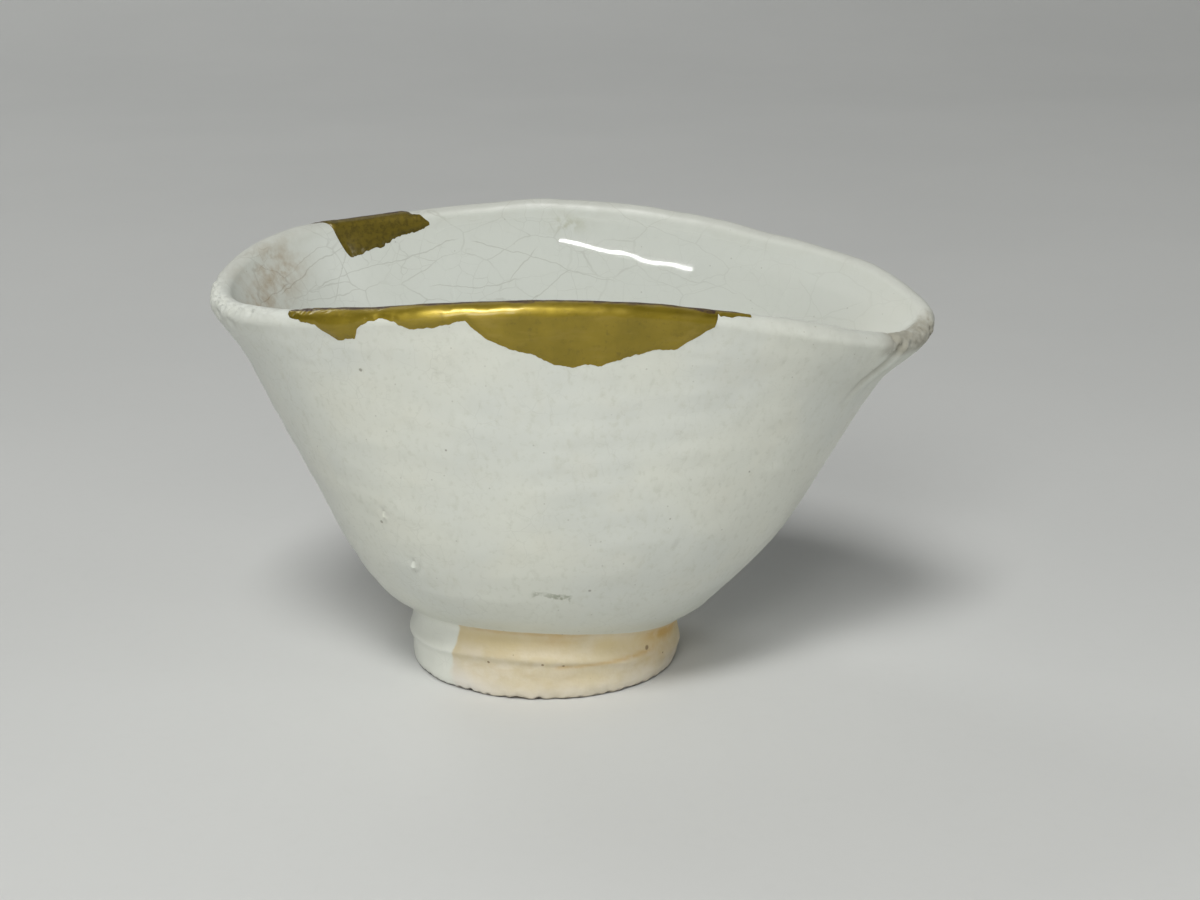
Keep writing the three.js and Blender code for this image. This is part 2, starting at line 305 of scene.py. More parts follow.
def foot_wall(t, a):
    """Outer face of the foot ring, t = 0 at the standing edge and 1 at the crease."""
    T = [0, 0.05, 0.10, 0.52, 0.62, 0.77, 0.90, 1]
    z = through(T, [0, 0, 0, 1, 1, 1, 1, 1], t) * crease_z(a) + through(T, [0, 0.12, 0.45, -3.92, -3.30, -2.25, -0.65, 0], t)
    r = through(T, [13.8, 14.03, 14.15, 14.40, 14.62, 14.30, 14.26, 14.9], t)
    P = np.stack([r * cos(a), r * sin(a), z], -1)
    out = np.stack([cos(a), sin(a), 0 * a], -1)
    rel = 0.030 * foot_tool(P) + 0.014 * dimple(P) + 0.010 * grain(P) + 0.03 * swell(P)
    # a fine turning line under the ridge
    rel -= 0.07 * bell(P[..., 2], 3.72 + 0.05 * hand(P), 0.16) * (1 - ease((np.abs(turn_from(a, 299)) - 22) / 5))
    # the turning tool left the ridge above the wall uneven
    rel += 0.07 * bell(t, 0.62, 0.06) * hand(P * np.array([1, 1, 0.2]))
    # small losses along the standing edge
    edge = 1 - ease(t / 0.17)
    n = foot_chip(P * np.array([1, 1, 0.4])) * 0.45 + foot_chip2(P) * 0.75
    chip = 0.10 * ease((n - 0.5) / 0.9)
    for at, wide, depth in FOOT_CHIPS:
        chip = chip + depth * np.exp(-(turn_from(a, at) / wide) ** 2 + 0.25 * foot_chip(P))
    rel -= edge * chip
    # the glaze that ran over the ring at the left stands a little proud
    rel += 0.09 * glaze_on_foot(a, P) * ease(t / 0.1)
    lift = edge * 0.75 * np.minimum(chip, 0.4)
    P = P + out * rel[..., None]
    P[..., 2] += lift * (1 - ease((t - 0.0) / 0.12)) * ease(t / 0.02)
    return P


def glaze_on_foot(a, P):
    """1 where the dipped glaze covers the foot ring, 0 where the clay is bare."""
    wob = (1.5 + 3.0 * (sin(a) > 0)) * hand(P * np.array([0, 0, 0.7])) + 1.0 * dimple(P)
    d = np.abs(turn_from(a, 191)) - 39.5 + wob
    soft = 1.6 + 4.2 * (1 - ease((P[..., 2] - 1.6) / 2.4))
    return 1 - ease((d + soft) / (2 * soft))


def column_bearings(columns):
    """Bearings spaced by length along the rim, closer at the drawn corner and at the nicked round end."""
    a = np.linspace(0, 2 * pi, 2881)
    c = outer(np.ones_like(a), a)
    mid = (a[1:] + a[:-1]) / 2
    w = np.linalg.norm(np.diff(c, axis=0), axis=1) \
        * (1 + 1.4 * bell(turn_from(mid, 345), 0, 20) + 0.8 * bell(turn_from(mid, 198), 0, 28))
    x = np.concatenate([[0], np.cumsum(w)])
    return np.interp(np.arange(columns) * x[-1] / columns, x, a)


def cup_grid(columns):
    """The whole cup as rings from the middle of the underside to the middle of the floor inside, with what each vertex lies on."""
    a = column_bearings(columns)
    rows, info = [], []

    def add(P, inside, h, s, kind):
        rows.append(P)
        n = np.ones(columns)
        info.append(np.stack([inside * n, h * n, s * n, kind * n, a], -1))

    # underside: recess, then the standing ring
    for r in np.concatenate([[0], np.linspace(1.8, 9.6, 6), [10.4, 10.85, 11.0, 11.12]]):
        z = through([0, 5.5, 9.2, 10.6, 11.0, 11.3], [RECESS_DEPTH + 0.3, RECESS_DEPTH + 0.15, RECESS_DEPTH - 0.5, RECESS_DEPTH - 1.8, 0.5, 0], r)
        P = np.stack([r * cos(a), r * sin(a), z + 0 * a], -1)
        if r > 0:
            P[:, 2] += (0.05 * sin(2 * pi * (r / 1.7) + 0.3 * a) + 0.03 * dimple(P)) * min(1.0, r / 3) * (r < 10.4)
        add(P, 0, -0.3, 99, 0)
    for r in np.linspace(11.3, 13.62, 4):
        P = np.stack([r * cos(a), r * sin(a), 0 * a], -1)
        add(P, 0, -0.2, 99, 0)
    for t in np.concatenate([[0, 0.025, 0.05, 0.075], np.linspace(0.10, 0.97, 23)]):
        add(foot_wall(np.full(columns, t), a), 0, -0.2 + 0.2 * t, 99, 1)
    # bowl
    us = np.concatenate([[0, 0.006, 0.014], np.linspace(0.024, 0.88, 58), np.linspace(0.888, 0.999, 20)])
    for u in us:
        s = QUARTER + (1 - u) * wall_length(a)
        if u < 0.6:
            O = outer(np.full(columns, u), a)
            _, out = wall_frame(np.full(columns, u), a)
            rel = outer_relief(O, a, s, np.full(columns, u)) * ease(u / 0.03)
            dmg = 0
            P = O + out * rel[:, None]
        else:
            P, _ = at_rim(a, s)
        rows.append(P)
        info.append(np.stack([0 * a, u + 0 * a, s, 2 + 0 * a, a], -1))
    for s in np.linspace(QUARTER, -QUARTER, 25):
        P, _ = at_rim(a, np.full(columns, s))
        rows.append(P)
        info.append(np.stack([np.full(columns, 0.5 - 0.5 * s / QUARTER), 1 + 0 * a, s + 0 * a, 2 + 0 * a, a], -1))
    for u in np.concatenate([np.linspace(0.995, 0.74, 20), np.linspace(0.715, INNER_FROM, 19)]):
        s = -(QUARTER + (1 - u) * wall_length(a))
        if u > 0.6:
            P, _ = at_rim(a, s)
        else:
            O = outer(np.full(columns, u), a)
            _, out = wall_frame(np.full(columns, u), a)
            I = O - out * through(WALL_LEVEL, WALL_T, u)
            P = I - out * inner_relief(I, a, np.full(columns, u))[:, None]
        rows.append(P)
        info.append(np.stack([1 + 0 * a, u + 0 * a, s, 3 + 0 * a, a], -1))
    edge = rows[-1].copy()
    O = outer(np.full(columns, INNER_FROM), a)
    _, out = wall_frame(np.full(columns, INNER_FROM), a)
    plain = O - out * through(WALL_LEVEL, WALL_T, INNER_FROM)
    for v in [0.94, 0.86, 0.76, 0.66, 0.55, 0.44, 0.33, 0.21, 0.10, 0]:
        P = plain * v
        P[:, 2] = FLOOR_Z + (plain[:, 2] - FLOOR_Z) * v ** FLOOR_POWER
        P += (edge - plain) * ease((v - 0.4) / 0.6)
        if v > 0:
            P[:, 2] += 0.07 * sin(2 * pi * v * 3.1 + 0.5 * a * 0) * ease((0.9 - v) / 0.3) * ease(v / 0.2) + 0.02 * dimple(P) * ease(v / 0.3)
        rows.append(P)
        info.append(np.stack([1 + 0 * a, 0.14 * v + 0 * a, -99 + 0 * a, 3 + 0 * a, a], -1))
    return np.array(rows), np.array(info)


def mesh_from(name, verts_mm, faces):
    v = np.asarray(verts_mm, float).copy()
    v[:, 0] += FOOT_X
    me = bpy.data.meshes.new(name)
    me.from_pydata((v / 1000).tolist(), [], faces)
    me.validate()
    me.update()
    ob = bpy.data.objects.new(name, me)
    scene.collection.objects.link(ob)
    return ob


def closed_rings(rows):
    """Vertices and faces of rings whose first and last rows are single points."""
    n, m = rows.shape[:2]
    verts = [rows[0, 0]] + [p for r in rows[1:-1] for p in r] + [rows[-1, 0]]
    faces = []
    top = len(verts) - 1

    def at(i, j):
        return 1 + (i - 1) * m + j % m
    for j in range(m):
        faces.append((0, at(1, j + 1), at(1, j)))
        faces.append((top, at(n - 2, j), at(n - 2, j + 1)))
    for i in range(1, n - 2):
        for j in range(m):
            faces.append((at(i, j), at(i, j + 1), at(i + 1, j + 1), at(i + 1, j)))
    return np.array(verts), faces


# ----------------------------------------------------------- gold lacquer fills
# bearing round the foot's axis, then the fill's edge on the outer and inner side,
# as signed distances from the lip's crest
FRONT_EDGE = [(222.4, 0.45), (223.0, 0.85), (224.8, 1.25), (229.0, 1.60), (231.0, 2.50), (232.5, 3.12), (236.0, 3.12), (237.0, 2.15),
              (239.3, 1.45), (241.2, 1.30), (243.8, 1.40), (244.3, 1.80), (246.2, 2.32), (247.8, 2.41), (251.0, 2.23), (255.0, 1.88),
              (255.8, 2.59), (258.2, 3.82), (261.8, 4.88), (265.0, 5.33), (267.5, 6.22), (269.5, 6.58), (272.2, 6.86), (274.2, 6.52),
              (276.8, 6.71), (279.2, 6.09), (282.0, 5.39), (284.0, 5.04), (288.0, 4.70), (289.2, 3.98), (292.0, 2.43), (293.05, 1.90),
              (293.22, 0.32), (293.40, 0.30), (293.55, 0.72), (296.0, 0.60), (299.0, 0.38)]
FRONT_INSIDE = [(222.4, -0.30), (225.0, -0.9), (231.0, -1.7), (238.0, -1.5), (246.0, -1.9), (254.0, -1.6), (262.0, -2.7), (270.0, -3.6),
                (277.0, -3.3), (285.0, -2.5), (291.0, -1.6), (295.0, -1.1), (299.0, -0.35)]
BACK_OVER = [(117.0, -2.20), (117.5, -1.85), (118.5, -1.20), (120.1, -1.05), (120.7, -0.10), (121.4, 0.75), (124.0, 1.25), (129.0, 1.55),
             (134.0, 1.45), (138.0, 1.10), (140.0, 0.75), (142.0, 0.35)]
BACK_INSIDE = [(117.0, -2.50), (118.2, -2.91), (120.0, -3.38), (122.2, -3.57), (123.5, -3.39), (125.0, -3.86), (127.0, -4.24), (129.2, -4.54),
               (132.0, -4.64), (133.8, -4.85), (135.8, -5.05), (137.2, -5.16), (137.8, -4.67), (138.2, -3.99), (138.5, -2.83), (138.7, -1.60),
               (139.3, -0.55), (142.0, 0.05)]


def edge_line(table, a, rough, seed):
    """The edge at bearings a in degrees, with the small raggedness of a broken rim."""
    t = np.array(table)
    base = np.interp(a, t[:, 0], t[:, 1])
    rng = np.random.default_rng(seed)
    n = np.zeros_like(a)
    for length, amp in ((0.62, 0.55), (0.33, 0.45), (1.5, 0.7), (2.6, 0.7)):
        knots = np.arange(a[0] - 2 * length, a[-1] + 2 * length, length)
        n += amp * np.interp(a, knots, rng.uniform(-1, 1, len(knots)))
    fade = ease((a - a[0]) / 1.0) * ease((a[-1] - a) / 1.0)
    return base + rough * n * fade


def fill(name, a_deg, s_out, s_in, rows, worn_at, old, under_rows=8):
    """(closed fill mesh, closed cutter mesh) between two edges of the rim. worn_at gives where its gold is rubbed off."""
    a = np.radians(a_deg)
    m = len(a)
    w = np.linspace(0, 1, rows)
    # rows crowd towards both edges, where the fill rolls down to the porcelain
    w = 0.5 - 0.5 * cos(pi * w) * (0.55 + 0.45 * cos(pi * w) ** 2)
    w = (w - w[0]) / (w[-1] - w[0])
    S = s_out[:, None] + (s_in - s_out)[:, None] * w[None, :]
    A = np.repeat(a[:, None], rows, 1)
    P, N = at_rim(A, S)
    # distance to the edge, in the wall's own surface
    crest, _ = lip(np.full(m, pi / 2), a)
    step = np.linalg.norm(np.diff(crest, axis=0), axis=1)
    x = np.concatenate([[0], np.cumsum(step)])
    edge_pts = np.concatenate([np.stack([x, s_out], -1), np.stack([x, s_in], -1)])
    D = np.empty(S.shape)
    for j in range(rows):
        q = np.stack([x, S[:, j]], -1)
        d = np.sqrt(((q[:, None, :] - edge_pts[None, :, :]) ** 2).sum(-1)).min(1)
        D[:, j] = d
    height = 0.015 + 0.105 * ease(D / 0.55) + 0.010 * dimple(P) * ease(D / 0.5) + 0.012 * hand(P) * ease(D / 0.5)
    skin = P + N * height[..., None]
    lifted = P + N * 0.7
    # the broken face under the fill
    An, Bn = N[:, 0], N[:, -1]
    up, _ = wall_frame(np.ones(m), a)
    inward = unit(-(An + Bn) / 2 - 0.35 * up)
    width = np.linalg.norm(P[:, 0] - P[:, -1], axis=-1)
    v = np.linspace(0, 1, under_rows + 2)[1:-1]
    under = P[:, :1] * (1 - v)[None, :, None] + P[:, -1:] * v[None, :, None] \
        + inward[:, None, :] * (0.9 * width[:, None] * v * (1 - v))[..., None]

    def build(nm, top, with_rim):
        # loop round the section: edge, over the top, edge, back under
        if with_rim:
            sec = np.concatenate([P[:, :1], top, P[:, -1:], under[:, ::-1]], 1)
        else:
            sec = np.concatenate([top, under[:, ::-1]], 1)
        k = sec.shape[1]
        verts = sec.reshape(-1, 3)
        faces = []
        for i in range(m - 1):
            for j in range(k):
                faces.append((i * k + j, i * k + (j + 1) % k, (i + 1) * k + (j + 1) % k, (i + 1) * k + j))
        # ends, fanned from their own middle
        c0, c1 = sec[0].mean(0), sec[-1].mean(0)
        verts = np.concatenate([verts, [c0, c1]])
        n0, n1 = len(verts) - 2, len(verts) - 1
        for j in range(k):
            faces.append((n0, (j + 1) % k, j))
            faces.append((n1, (m - 1) * k + j, (m - 1) * k + (j + 1) % k))
        ob = mesh_from(nm, verts, faces)
        if not with_rim:
            rub = np.zeros((m, k))
            rub[:, :rows] = worn_at(A, S, P)
            # the crest is taken to be smoother than the face, evenly along the fill
            gloss = np.zeros((m, k))
            gloss[:, :rows] = (1 - old) * bell(S, 0.88 + 0.03 * hand(P), 0.30)
            at = ob.data.attributes.new("crest_gloss", "FLOAT", "POINT")
            at.data.foreach_set("value", np.append(gloss.ravel(), [0, 0]).astype(np.float32))
            at = ob.data.attributes.new("rubbed", "FLOAT", "POINT")
            at.data.foreach_set("value", np.append(rub.ravel(), [0, 0]).astype(np.float32))
            at = ob.data.attributes.new("old", "FLOAT", "POINT")
            at.data.foreach_set("value", np.full(len(verts), old, np.float32))
        return ob
    return build(name, skin, False), build(name + "_cutter", lifted, True)


def outward(ob):
    """Faces turned outwards if the mesh encloses a negative volume."""
    me = ob.data
    me.calc_loop_triangles()
    v = np.empty(len(me.vertices) * 3)
    me.vertices.foreach_get("co", v)
    v = v.reshape(-1, 3)
    t = np.empty(len(me.loop_triangles) * 3, int)
    me.loop_triangles.foreach_get("vertices", t)
    t = t.reshape(-1, 3)
    vol = np.einsum("ij,ij->i", v[t[:, 0]], np.cross(v[t[:, 1]], v[t[:, 2]])).sum() / 6
    if vol < 0:
        me.flip_normals()
    return vol


def arc_angles(lo, hi, step_mm):
    """Bearings from lo to hi, in degrees, evenly spaced along the rim."""
    a = np.radians(np.linspace(lo, hi, 400))
    c, _ = lip(np.full(400, pi / 2), a)
    x = np.concatenate([[0], np.cumsum(np.linalg.norm(np.diff(c, axis=0), axis=1))])
    n = int(x[-1] / step_mm) + 1
    return np.interp(np.linspace(0, x[-1], n), x, np.degrees(a))


COLUMNS = 470
rows, info = cup_grid(COLUMNS)
verts, faces = closed_rings(rows)
cup = mesh_from("porcelain_body", verts, faces)
outward(cup)

STEP = 0.12
fa = arc_angles(222.4, 299.0, STEP)


def rubbed_front(a, s, P):
    reach = 0.30 + 0.14 * dimple(P) + 0.30 * ease((np.degrees(a) - 288) / 5) - 0.52 * ease((np.degrees(a) - 292.6) / 0.6)
    return ease((reach - s) / 0.22) * ease((s + 1.1 + 0.2 * dimple(P)) / 0.3)


def rubbed_back(a, s, P):
    return ease((s + 0.52 + 0.10 * dimple(P)) / 0.2) * ease((1.1 + 0.2 * hand(P) - s) / 0.3)


front_gold, front_cut = fill("gold_fill_front", fa, edge_line(FRONT_EDGE, fa, 0.11, 31), edge_line(FRONT_INSIDE, fa, 0.12, 32), 34,
                             rubbed_front, 0.0)
ba = arc_angles(117.0, 142.0, STEP)
back_gold, back_cut = fill("gold_fill_back", ba, edge_line(BACK_OVER, ba, 0.10, 33), edge_line(BACK_INSIDE, ba, 0.19, 34), 38,
                           rubbed_back, 1.0)
for ob in (front_gold, front_cut, back_gold, back_cut):
    outward(ob)

for cutter in (front_cut, back_cut):
    mod = cup.modifiers.new("cut", "BOOLEAN")
    mod.operation = "DIFFERENCE"
    mod.solver = "MANIFOLD"
    mod.object = cutter
deps = bpy.context.evaluated_depsgraph_get()
cut_mesh = bpy.data.meshes.new_from_object(cup.evaluated_get(deps))
cup.modifiers.clear()
old = cup.data
cup.data = cut_mesh
cut_mesh.name = "porcelain_body"
bpy.data.meshes.remove(old)
for cutter in (front_cut, back_cut):
    me = cutter.data
    bpy.data.objects.remove(cutter)
    bpy.data.meshes.remove(me)


def smooth(ob, degrees):
    me = ob.data
    me.polygons.foreach_set("use_smooth", [True] * len(me.polygons))
    me.set_sharp_from_angle(angle=math.radians(degrees))
    me.update()


smooth(cup, 42)
smooth(front_gold, 50)
smooth(back_gold, 50)

# ------------------------------------------------- what each vertex lies on
tree = kdtree.KDTree(rows.shape[0] * rows.shape[1])
flat = rows.reshape(-1, 3)
for i, p in enumerate(flat):
    tree.insert((p[0], p[1], p[2]), i)
tree.balance()
tags = info.reshape(-1, 5)
me = cup.data
co = np.empty(len(me.vertices) * 3)
me.vertices.foreach_get("co", co)
co = co.reshape(-1, 3) * 1000
co[:, 0] -= FOOT_X
near = np.array([tree.find((p[0], p[1], p[2]))[1] for p in co])
t = tags[near]
inside, height, dist, kind, theta = t.T
bearing = np.arctan2(co[:, 1], co[:, 0])


def attribute(name, values):
    at = me.attributes.new(name, "FLOAT", "POINT")
    at.data.foreach_set("value", np.asarray(values, np.float32))


on_foot = (kind <= 1).astype(float)
under_glaze = glaze_on_foot(bearing, co)
bare = np.where(kind == 1, 1 - under_glaze, np.where(kind == 0, 1.0, 0.0))
crease = crease_z(bearing)
below = crease - co[:, 2]
# olive tan flush in the groove, interrupted by one run of glaze; orange at the front right
flush = bell(below, 1.45, 1.10) * (1 - 0.75 * bell(turn_from(bearing, 287.5), 0, 5)) * (kind == 1)
rust = (bell(below, 0.95, 0.75) * (bell(turn_from(bearing, 334), 0, 15) + 0.35 * bell(turn_from(bearing, 276), 0, 7))
        + 0.45 * bell(below, 0.30, 0.25) * (1 - ease((np.abs(turn_from(bearing, 265)) - 20) / 8))
        + 0.30 * bell(below, 2.9, 1.6) * bell(turn_from(bearing, 326), 0, 18)
        + 0.55 * bell(co[:, 2], 3.72, 0.20) * (1 - ease((np.abs(turn_from(bearing, 299)) - 22) / 4))) * (kind == 1)
# dirt along the standing edge
grime = (kind <= 1) * (1 - ease((co[:, 2] - 0.08 - 0.07 * foot_chip(co)) / 0.24)) * (np.hypot(co[:, 0], co[:, 1]) > 13.3)
# painted shade along the fold of the drawn corner
arc, down = corner_fold(co, theta, np.where(kind == 2, np.where(np.abs(dist) < 90, dist, 50), -50))
fold = np.exp(-(arc / 0.85) ** 2) * down + 0.5 * np.exp(-((arc - 3.5) / 0.6) ** 2) * down
dmg, worn = corner_damage(co, theta, np.where(np.abs(dist) < 90, dist, 50))
# brown tea stain inside the round end
stain = inside * (0.8 * bell(turn_from(theta, 157), 0, 7) * bell(-dist, 3.6, 2.4)
                  + bell(turn_from(theta, 171), 0, 13) * bell(-dist, 5.6, 3.4))
olive = inside * bell(turn_from(theta, 90), 0, 3.2) * bell(-dist, 3.3, 0.8)
away = np.abs(turn_from(theta, 348))
lip_dull = np.maximum(1 - ease((np.abs(np.where(np.abs(dist) < 90, dist, 50)) - 2.0) / 1.4),
                      (1 - ease((away - 22) / 16)) * (1 - ease((np.abs(dist) - 6) / 5)))
wet = inside * (1 - ease((np.abs(turn_from(theta, 79)) - 22) / 20)) * (1 - ease((-dist - 12) / 4))
fade = inside * (1 - height)
attribute("inside", inside)
attribute("bare", bare)
attribute("flush", flush)
attribute("grime", grime)
attribute("pale", bell(co[:, 2], 0.5, 1.1) * (kind <= 1) * (0.72 + 0.5 * bell(turn_from(bearing, 236), 0, 18))
          + 0.9 * bell(turn_from(bearing, 233), 0, 8) * (1 - ease((co[:, 2] - 1.6) / 2.2)) * (kind == 1))
attribute("cream", bell(co[:, 2], 2.3, 1.3) * bell(turn_from(bearing, 280), 0, 15) * (kind == 1))
attribute("rust", rust)
attribute("fold", fold)
attribute("worn", np.clip(worn, 0, 1) * (np.abs(dist) < 6))
attribute("stain", stain)
attribute("olive", olive)
attribute("deep", np.where(kind == 3, 1 - height, 0))
attribute("underside", (kind == 0).astype(float))
attribute("lip", lip_dull)
attribute("wet", wet)
# painted light: the glaze on the foot ring is lighter
attribute("ring", on_foot)
# painted shade: a darker band along the lip's crest, strongest on the back half
attribute("shade", (1 - ease((np.abs(dist) - 0.9) / 1.1)) * (0.12 + 0.88 * ease((np.sin(theta) + 0.25) / 0.5)))
# painted shade: darker inside the drawn corner
attribute("corner", inside * np.maximum(0.55 * bell(turn_from(theta, 0), 0, 36),
                                        0.85 * bell(turn_from(theta, 350), 0, 15) * (1 - ease((np.abs(dist) - 3) / 7))))
attribute("crazed", 0.35 + 0.65 * ease((30 - co[:, 0]) / 40))
# painted shade: the outer bowl darker towards its bottom
attribute("low", np.where(kind == 2, 1 - ease(height / 0.16), 0) * (inside < 0.5))

# --------------------------------------------------------------- materials


class Nodes:
    def __init__(self, name):
        self.mat = bpy.data.materials.new(name)
        self.mat.use_nodes = True
        self.t = self.mat.node_tree
        self.t.nodes.clear()
        self.out = self.t.nodes.new("ShaderNodeOutputMaterial")
        self.bsdf = self.t.nodes.new("ShaderNodeBsdfPrincipled")
        self.t.links.new(self.bsdf.outputs[0], self.out.inputs[0])
        co = self.t.nodes.new("ShaderNodeTexCoord")
        self.mm = self.vec("SCALE", co.outputs["Object"], scale=1000)

    def node(self, kind, **props):
        n = self.t.nodes.new(kind)
        for k, v in props.items():
            setattr(n, k, v)
        return n

    def put(self, socket, value):
        if hasattr(value, "is_linked") or hasattr(value, "links"):
            self.t.links.new(value, socket)
        else:
            socket.default_value = value

    def vec(self, op, a, b=None, scale=None):
        n = self.node("ShaderNodeVectorMath", operation=op)
        self.put(n.inputs[0], a)
        if b is not None:
            self.put(n.inputs[1], b)
        if scale is not None:
            self.put(n.inputs["Scale"], scale)
        return n.outputs[0]

    def math(self, op, a, b=None, c=None, clamp=False):
        n = self.node("ShaderNodeMath", operation=op, use_clamp=clamp)
        self.put(n.inputs[0], a)
        if b is not None:
            self.put(n.inputs[1], b)
        if c is not None:
            self.put(n.inputs[2], c)
        return n.outputs[0]

    def attr(self, name):
        n = self.node("ShaderNodeAttribute", attribute_name=name)
        return n.outputs["Fac"]

    def noise(self, length, detail=3.0, rough=0.55, vector=None, distortion=0.0):
        n = self.node("ShaderNodeTexNoise")
        self.put(n.inputs["Vector"], vector if vector is not None else self.mm)
        n.inputs["Scale"].default_value = 1.0 / length
        n.inputs["Detail"].default_value = detail
        n.inputs["Roughness"].default_value = rough
        n.inputs["Distortion"].default_value = distortion
        return n

    def ramp(self, value, lo, hi, a=0.0, b=1.0, smooth=True):
        n = self.node("ShaderNodeMapRange", interpolation_type="SMOOTHSTEP" if smooth else "LINEAR")
        self.put(n.inputs[0], value)
        for i, v in enumerate((lo, hi, a, b)):
            n.inputs[i + 1].default_value = v
        return n.outputs[0]

    def mix(self, fac, a, b, blend="MIX"):
        n = self.node("ShaderNodeMix", data_type="RGBA", blend_type=blend)
        self.put(n.inputs[0], fac)
        self.put(n.inputs[6], a)
        self.put(n.inputs[7], b)
        return n.outputs[2]

    def stretch(self, scale, vector=None, turn=(0, 0, 0)):
        n = self.node("ShaderNodeMapping")
        self.put(n.inputs["Vector"], vector if vector is not None else self.mm)
        n.inputs["Scale"].default_value = scale
        n.inputs["Rotation"].default_value = turn
        return n.outputs[0]

    def cracks(self, vector, size, width):
        n = self.node("ShaderNodeTexVoronoi", feature="DISTANCE_TO_EDGE")
        self.put(n.inputs["Vector"], vector)
        n.inputs["Scale"].default_value = 1.0 / size
        n.inputs["Randomness"].default_value = 0.82
        return self.ramp(n.outputs["Distance"], width * 0.25 / size, width / size, 1.0, 0.0)

    def specks(self, vector, size, radius, share, seed=0.0):
        """Round dots of a radius, in some of the cells."""
        n = self.node("ShaderNodeTexVoronoi", feature="F1")
        self.put(n.inputs["Vector"], self.vec("ADD", vector, (seed, seed * 1.7, seed * 0.6)))
        n.inputs["Scale"].default_value = 1.0 / size
        dot = self.ramp(n.outputs["Distance"], radius * 0.55 / size, radius / size, 1.0, 0.0)
        pick = self.node("ShaderNodeSeparateColor")
        self.put(pick.inputs[0], n.outputs["Color"])
        chosen = self.math("LESS_THAN", pick.outputs[0], share)
        return self.math("MULTIPLY", dot, chosen)

    def spot(self, P, radius):
        """A small round spot about a point, in millimetres."""
        n = self.node("ShaderNodeVectorMath", operation="DISTANCE")
        self.put(n.inputs[0], self.mm)
        n.inputs[1].default_value = tuple(P)
        return self.ramp(n.outputs["Value"], radius * 0.6, radius * 1.15, 1.0, 0.0)

    def dot(self, vector, axis):
        n = self.node("ShaderNodeVectorMath", operation="DOT_PRODUCT")
        self.put(n.inputs[0], vector)
        n.inputs[1].default_value = tuple(axis)
        return n.outputs["Value"]

    def bump(self, height, distance_mm, strength=1.0, normal=None):
        n = self.node("ShaderNodeBump")
        n.inputs["Strength"].default_value = strength
        n.inputs["Distance"].default_value = distance_mm / 1000
        self.put(n.inputs["Height"], height)
        if normal is not None:
            self.put(n.inputs["Normal"], normal)
        return n.outputs[0]


def srgb(r, g, b):
    def lin(c):
        c /= 255
        return c / 12.92 if c <= 0.04045 else ((c + 0.055) / 1.055) ** 2.4
    return (lin(r), lin(g), lin(b), 1.0)


# long single cracks in the glaze inside: two ends on the wall, and the wall's own normal there
LONG_CRACKS = [((109.2, 0.92), (78.8, 0.80)), ((70.0, 0.865), (51.5, 0.838)), ((119.8, 0.795), (99.0, 0.78)), ((101.0, 0.775), (96.0, 0.885)),
               ((97.0, 0.72), (88.5, 0.835)), ((162.5, 0.885), (135.2, 0.965)), ((146.0, 0.80), (137.0, 0.95)), ((150.0, 0.86), (112.0, 0.93)),
               ((40.0, 0.93), (22.0, 0.80)), ((60.0, 0.60), (20.0, 0.93)), ((250.0, 0.55), (215.0, 0.90)), ((300.0, 0.93), (330.0, 0.62))]


GLAZE_SPOTS = [((281.8, 0.173), 0.22), ((226.4, 0.378), 0.20), ((235.0, 0.870), 0.20), ((248.5, 0.62), 0.15), ((296.0, 0.42), 0.17),
               ((312.0, 0.58), 0.16), ((262.0, 0.33), 0.14), ((197.5, 0.955), 0.2), ((120.0, 0.5), 0.2), ((70.0, 0.3), 0.2)]
CLAY_SPOTS = [((318.6, 4.05), 0.30), ((247.0, 3.9), 0.17), ((270.0, 4.1), 0.18), ((278.5, 3.9), 0.16), ((258.0, 5.0), 0.13),
              ((240.5, 3.0), 0.13), ((300.0, 5.1), 0.16), ((290.0, 2.2), 0.12), ((330.0, 2.6), 0.14), ((20.0, 3.1), 0.2), ((100.0, 4.2), 0.2)]


